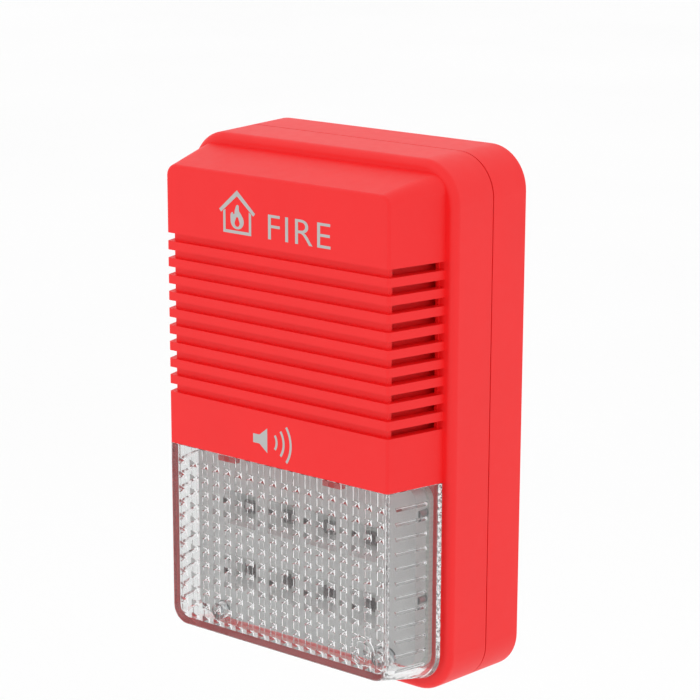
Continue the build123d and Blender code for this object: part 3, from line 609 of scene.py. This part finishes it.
# ------------------------------------------------------------------ printed marks
@dataclass
class PrintedMarks:
    """Pad-printed marks on the front of the cover: a fire pictogram, a word and a sounder pictogram."""

    palette: Palette
    ink: float = 0.03 * MM
    sink: float = 0.02 * MM
    line: float = 0.8 * MM
    house_low: tuple[float, float] = (-18.4 * MM, 47.4 * MM)
    house_size: tuple[float, float] = (12.0 * MM, 11.2 * MM)
    word: str = "FIRE"
    word_low: tuple[float, float] = (-1.9 * MM, 47.4 * MM)
    word_size: tuple[float, float] = (20.6 * MM, 6.3 * MM)
    sounder_centre: tuple[float, float] = (0.0, -5.4 * MM)

    def build(self) -> None:
        """Print all marks."""
        self.print_shape("print_house", self.house())
        self.print_shape("print_flame", self.flame())
        self.print_shape("print_word", self.lettering())
        self.print_shape("print_sounder", self.sounder())

    def print_shape(self, name: str, bm: bmesh.types.BMesh) -> bpy.types.Object:
        """Give a flat shape drawn in X and Z the thickness of ink on the cover's front.

        Args:
            name: name of the piece.
            bm: flat shape at Y = 0.

        Returns:
            The printed piece.
        """
        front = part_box("front_cover")[0].y
        bmesh.ops.remove_doubles(bm, verts=bm.verts, dist=1e-6)
        made = bmesh.ops.extrude_face_region(bm, geom=list(bm.faces))
        raised = [item for item in made["geom"] if isinstance(item, bmesh.types.BMVert)]
        bmesh.ops.translate(bm, verts=bm.verts, vec=(0, front + self.sink, 0))
        bmesh.ops.translate(bm, verts=raised, vec=(0, -self.ink - self.sink, 0))
        return finish_mesh(bm, name, "head", self.palette["print_ink"])

    def flat_curve(self, outlines: list[list[tuple[float, float]]], smooth: bool) -> bmesh.types.BMesh:
        """Fill closed outlines given in X and Z.

        Args:
            outlines: one list of corners per outline.
            smooth: True for curves through the corners.

        Returns:
            The filled flat shape at Y = 0.
        """
        curve = bpy.data.curves.new("outline", "CURVE")
        curve.dimensions = "2D"
        curve.fill_mode = "BOTH"
        curve.resolution_u = 8
        for outline in outlines:
            spline = curve.splines.new("BEZIER")
            spline.bezier_points.add(len(outline) - 1)
            for point, (x, z) in zip(spline.bezier_points, outline):
                point.co = (x, z, 0)
                point.handle_left_type = point.handle_right_type = "AUTO" if smooth else "VECTOR"
            spline.use_cyclic_u = True
        return self.from_data(curve)

    def from_data(self, data: bpy.types.Curve) -> bmesh.types.BMesh:
        """Mesh of a flat curve or text, turned upright into X and Z."""
        helper = bpy.data.objects.new("flat", data)
        bpy.context.scene.collection.objects.link(helper)
        graph = bpy.context.evaluated_depsgraph_get()
        graph.update()
        mesh = bpy.data.meshes.new_from_object(helper.evaluated_get(graph))
        bpy.data.objects.remove(helper)
        bm = bmesh.new()
        bm.from_mesh(mesh)
        bmesh.ops.remove_doubles(bm, verts=bm.verts, dist=1e-7)
        bmesh.ops.rotate(bm, verts=bm.verts, cent=(0, 0, 0), matrix=Matrix.Rotation(math.radians(90), 3, "X"))
        return bm

    def house(self) -> bmesh.types.BMesh:
        """Outline of a plain house: walls, floor and a gable roof that overhangs."""
        x, z = self.house_low
        wide, tall = self.house_size
        eave = z + 0.52 * tall
        inset = 0.1 * wide
        line = self.line
        roof = [
            (x - 0.2 * line, eave), (x + wide / 2, z + tall), (x + wide + 0.2 * line, eave),
            (x + wide - 0.6 * line, eave - 0.9 * line), (x + wide / 2, z + tall - 1.9 * line),
            (x + 0.6 * line, eave - 0.9 * line),
        ]
        walls = [
            (x + inset, eave - 0.4 * line), (x + inset, z), (x + wide - inset, z),
            (x + wide - inset, eave - 0.4 * line),
            (x + wide - inset - line, eave - 0.4 * line + 0.6 * line), (x + wide - inset - line, z + line),
            (x + inset + line, z + line), (x + inset + line, eave - 0.4 * line + 0.6 * line),
        ]
        bm = self.flat_curve([roof], False)
        other = self.flat_curve([walls], False)
        mesh = bpy.data.meshes.new("walls")
        other.to_mesh(mesh)
        other.free()
        bm.from_mesh(mesh)
        return bm

    def flame(self) -> bmesh.types.BMesh:
        """A flame with one side tongue and a hollow heart."""
        x, z = self.house_low
        cx = x + self.house_size[0] / 2
        base = z + 1.5 * self.line
        scale = 0.56 * self.house_size[1]
        outer = [
            (0.0, 0.0), (0.26, 0.1), (0.36, 0.34), (0.24, 0.6), (0.12, 0.74), (0.04, 1.0), (-0.12, 0.78),
            (-0.18, 0.6), (-0.26, 0.68), (-0.36, 0.36), (-0.26, 0.1),
        ]
        heart = [(0.0, 0.1), (0.13, 0.2), (0.1, 0.36), (0.0, 0.5), (-0.1, 0.36), (-0.13, 0.2)]
        outlines = [[(cx + dx * scale, base + dz * scale) for dx, dz in ring] for ring in (outer, heart)]
        return self.flat_curve(outlines, True)

    def lettering(self) -> bmesh.types.BMesh:
        """The warning word in a plain typeface, fitted to its printed size."""
        text = bpy.data.curves.new("word", "FONT")
        text.body = self.word
        text.fill_mode = "FRONT"
        text.resolution_u = 6
        text.offset = -0.006
        text.space_character = 1.08
        bm = self.from_data(text)
        xs = [vert.co.x for vert in bm.verts]
        zs = [vert.co.z for vert in bm.verts]
        scale = (self.word_size[0] / (max(xs) - min(xs)), 1.0, self.word_size[1] / (max(zs) - min(zs)))
        bmesh.ops.translate(bm, verts=bm.verts, vec=(-min(xs), 0, -min(zs)))
        bmesh.ops.scale(bm, verts=bm.verts, vec=scale)
        bmesh.ops.translate(bm, verts=bm.verts, vec=(self.word_low[0], 0, self.word_low[1]))
        return bm

    def sounder(self) -> bmesh.types.BMesh:
        """A loudspeaker with three arcs of sound."""
        cx, cz = self.sounder_centre
        unit = 1.0 * MM
        speaker = [(-7.5, 1.2), (-5.3, 1.2), (-2.6, 3.3), (-2.6, -3.3), (-5.3, -1.2), (-7.5, -1.2)]
        bm = self.flat_curve([[(cx + x * unit, cz + z * unit) for x, z in speaker]], False)
        for radius in (3.2, 5.6, 8.0):
            self.add_arc(bm, (cx - 2.6 * unit, cz), radius * unit, 0.7 * unit, 36.0)
        return bm

    def add_arc(
        self,
        bm: bmesh.types.BMesh,
        centre: tuple[float, float],
        radius: float,
        line: float,
        half_angle: float,
    ) -> None:
        """Add a flat arc that opens to +X.

        Args:
            bm: flat shape that takes the arc.
            centre: X and Z of its centre.
            radius: radius of its middle line.
            line: width of the line.
            half_angle: half of the arc's angle in degrees.
        """
        x, z = centre
        turn = math.radians(half_angle)
        ends = []
        for reach in (radius - line / 2, radius + line / 2):
            ends.append(bm.verts.new((x + reach * math.cos(turn), 0, z + reach * math.sin(turn))))
        edge = bm.edges.new(ends)
        bmesh.ops.spin(bm, geom=[*ends, edge], cent=(x, 0, z), axis=(0, 1, 0), angle=2 * turn, steps=14)


# ------------------------------------------------------------------ studio
@dataclass
class Studio:
    """Pale floor, even white surroundings, soft lamps and the camera."""

    azimuth: float = 40.52
    elevation: float = 14.95
    distance: float = 0.6478
    target: tuple[float, float, float] = (0.0, -0.025, 0.0)
    lens_mm: float = 127.3
    shift: tuple[float, float] = (0.0349, 0.0814)
    floor_drop: float = 0.6
    surroundings: float = 1.0

    def build(self) -> None:
        """Make the floor, the light and the camera."""
        self.floor()
        self.light()
        self.camera()

    def floor(self) -> None:
        """Large pale floor well below the object, so that nothing casts a hard shadow on it."""
        bm = bmesh.new()
        bmesh.ops.create_grid(bm, x_segments=8, y_segments=8, size=14.0)
        mesh = bpy.data.meshes.new("studio_floor")
        bm.to_mesh(mesh)
        bm.free()
        floor = bpy.data.objects.new("studio_floor", mesh)
        floor.location = (0, 0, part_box("mounting_base")[0].z - self.floor_drop)
        bpy.context.scene.collection.objects.link(floor)
        finish = Finish("studio floor", Making.PAINTED, "#FFFFFF", "#FBFBFB", 0.9, 0.02, grain=30,
                        grain_height=0.02, drift=900)
        mesh.materials.append(finish.make())

    def light(self) -> None:
        """White surroundings with a soft lamp high on the left and a weak one on the right."""
        world = bpy.data.worlds.new("studio")
        world.use_nodes = True
        world.node_tree.nodes.clear()
        sky = add_node(world.node_tree, "ShaderNodeBackground",
                       values={"Color": (1, 1, 1, 1), "Strength": self.surroundings})
        add_node(world.node_tree, "ShaderNodeOutputWorld", links={"Surface": sky.outputs["Background"]})
        bpy.context.scene.world = world
        self.lamp("key", (-0.5, -1.1, 1.2), 1.0, 0.9)
        self.lamp("fill", (1.4, -0.6, 0.5), 1.0, 0.1)

    def lamp(self, name: str, place: tuple[float, float, float], size: float, watts: float) -> None:
        """Add a square area lamp aimed at the object."""
        data = bpy.data.lights.new(name, "AREA")
        data.size = size
        data.energy = watts
        lamp = bpy.data.objects.new(name, data)
        lamp.location = place
        lamp.rotation_mode = "QUATERNION"
        lamp.rotation_quaternion = Vector(place).to_track_quat("Z", "Y")
        bpy.context.scene.collection.objects.link(lamp)

    def camera(self) -> None:
        """Camera from the upper right of the object."""
        a, e = math.radians(self.azimuth), math.radians(self.elevation)
        back = Vector((math.sin(a) * math.cos(e), -math.cos(a) * math.cos(e), math.sin(e)))
        data = bpy.data.cameras.new("camera")
        data.lens = self.lens_mm
        data.sensor_width = 36.0
        data.shift_x, data.shift_y = self.shift
        data.clip_start = 0.01
        camera = bpy.data.objects.new("camera", data)
        camera.location = Vector(self.target) + back * self.distance
        camera.rotation_mode = "QUATERNION"
        camera.rotation_quaternion = (-back).to_track_quat("-Z", "Y")
        bpy.context.scene.collection.objects.link(camera)
        bpy.context.scene.camera = camera
        bpy.context.scene.view_settings.view_transform = "Standard"
        self.light_paths()

    def light_paths(self) -> None:
        """Let light pass through the many faces of the lens before it's dropped."""
        cycles = bpy.context.scene.cycles
        cycles.max_bounces = 32
        cycles.glossy_bounces = 20
        cycles.transmission_bounces = 28


def main() -> None:
    """Build the looks in order and report each piece."""
    logging.basicConfig(level=logging.INFO, format="%(name)s: %(message)s")
    Studio().build()
    palette = Palette()
    palette.dress_frame()
    PrismLens(palette).build()
    PrintedMarks(palette).build()


if __name__ == "__main__":
    main()
